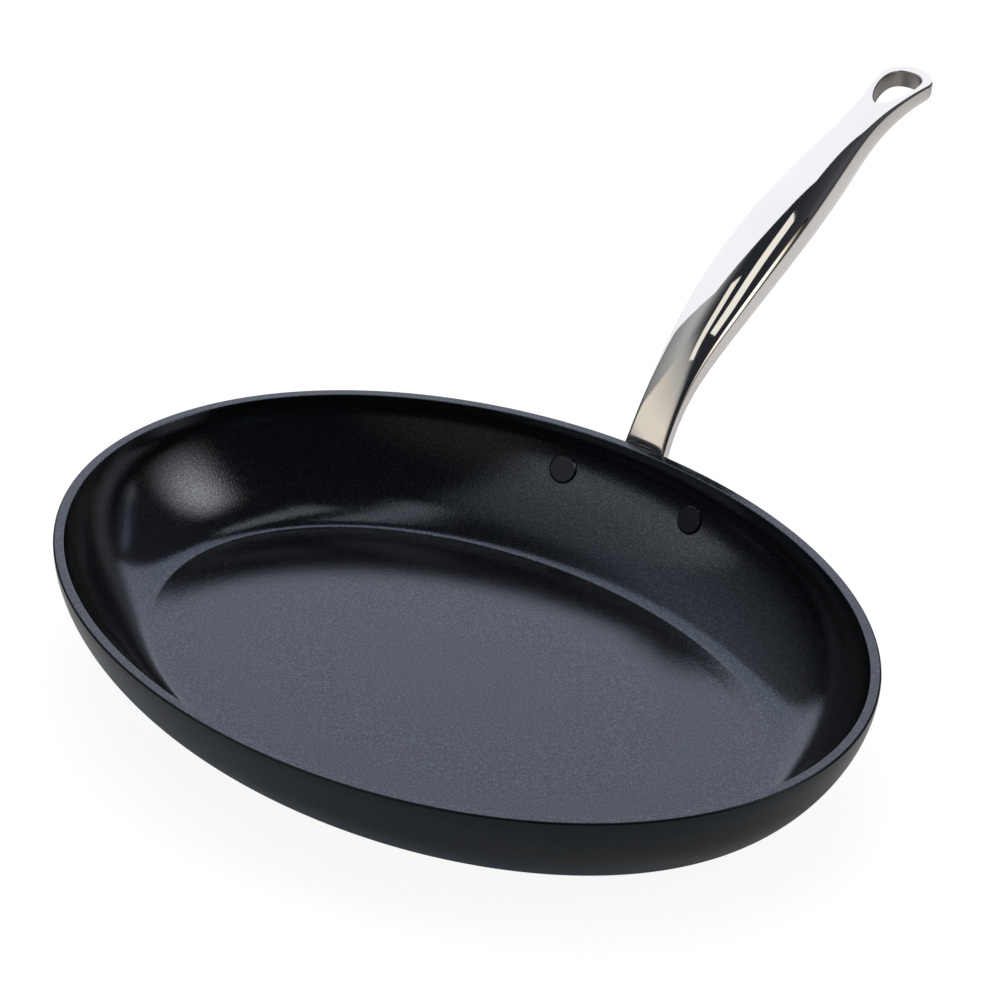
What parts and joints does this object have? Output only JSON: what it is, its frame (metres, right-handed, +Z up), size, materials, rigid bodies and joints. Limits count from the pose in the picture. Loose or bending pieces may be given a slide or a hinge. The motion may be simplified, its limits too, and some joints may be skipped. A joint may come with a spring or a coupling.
{
  "type": "omelette pan",
  "caption": "Oval shallow frying pan with curved sides, a dark coated bowl, a riveted cast handle with a hanging eye, and an induction plate in its base.",
  "frame": {"origin": "middle of the flat underside, at the middle of the oval, where the pan rests on the hob", "axes": "+Z up; the oval is long along X; the handle leaves the middle of a long side along +Y"},
  "size_m": [0.35, 0.476, 0.1393],
  "materials": {
    "coated_bowl": "satin",
    "induction_plate": "satin",
    "polished_handle": "polished",
    "coated_rivets": "satin"
  },
  "bodies": {
    "root": {"pan_body": "coated_bowl", "base_plate": "induction_plate", "handle": "polished_handle", "rivets": "coated_rivets"}
  },
  "joints": []
}
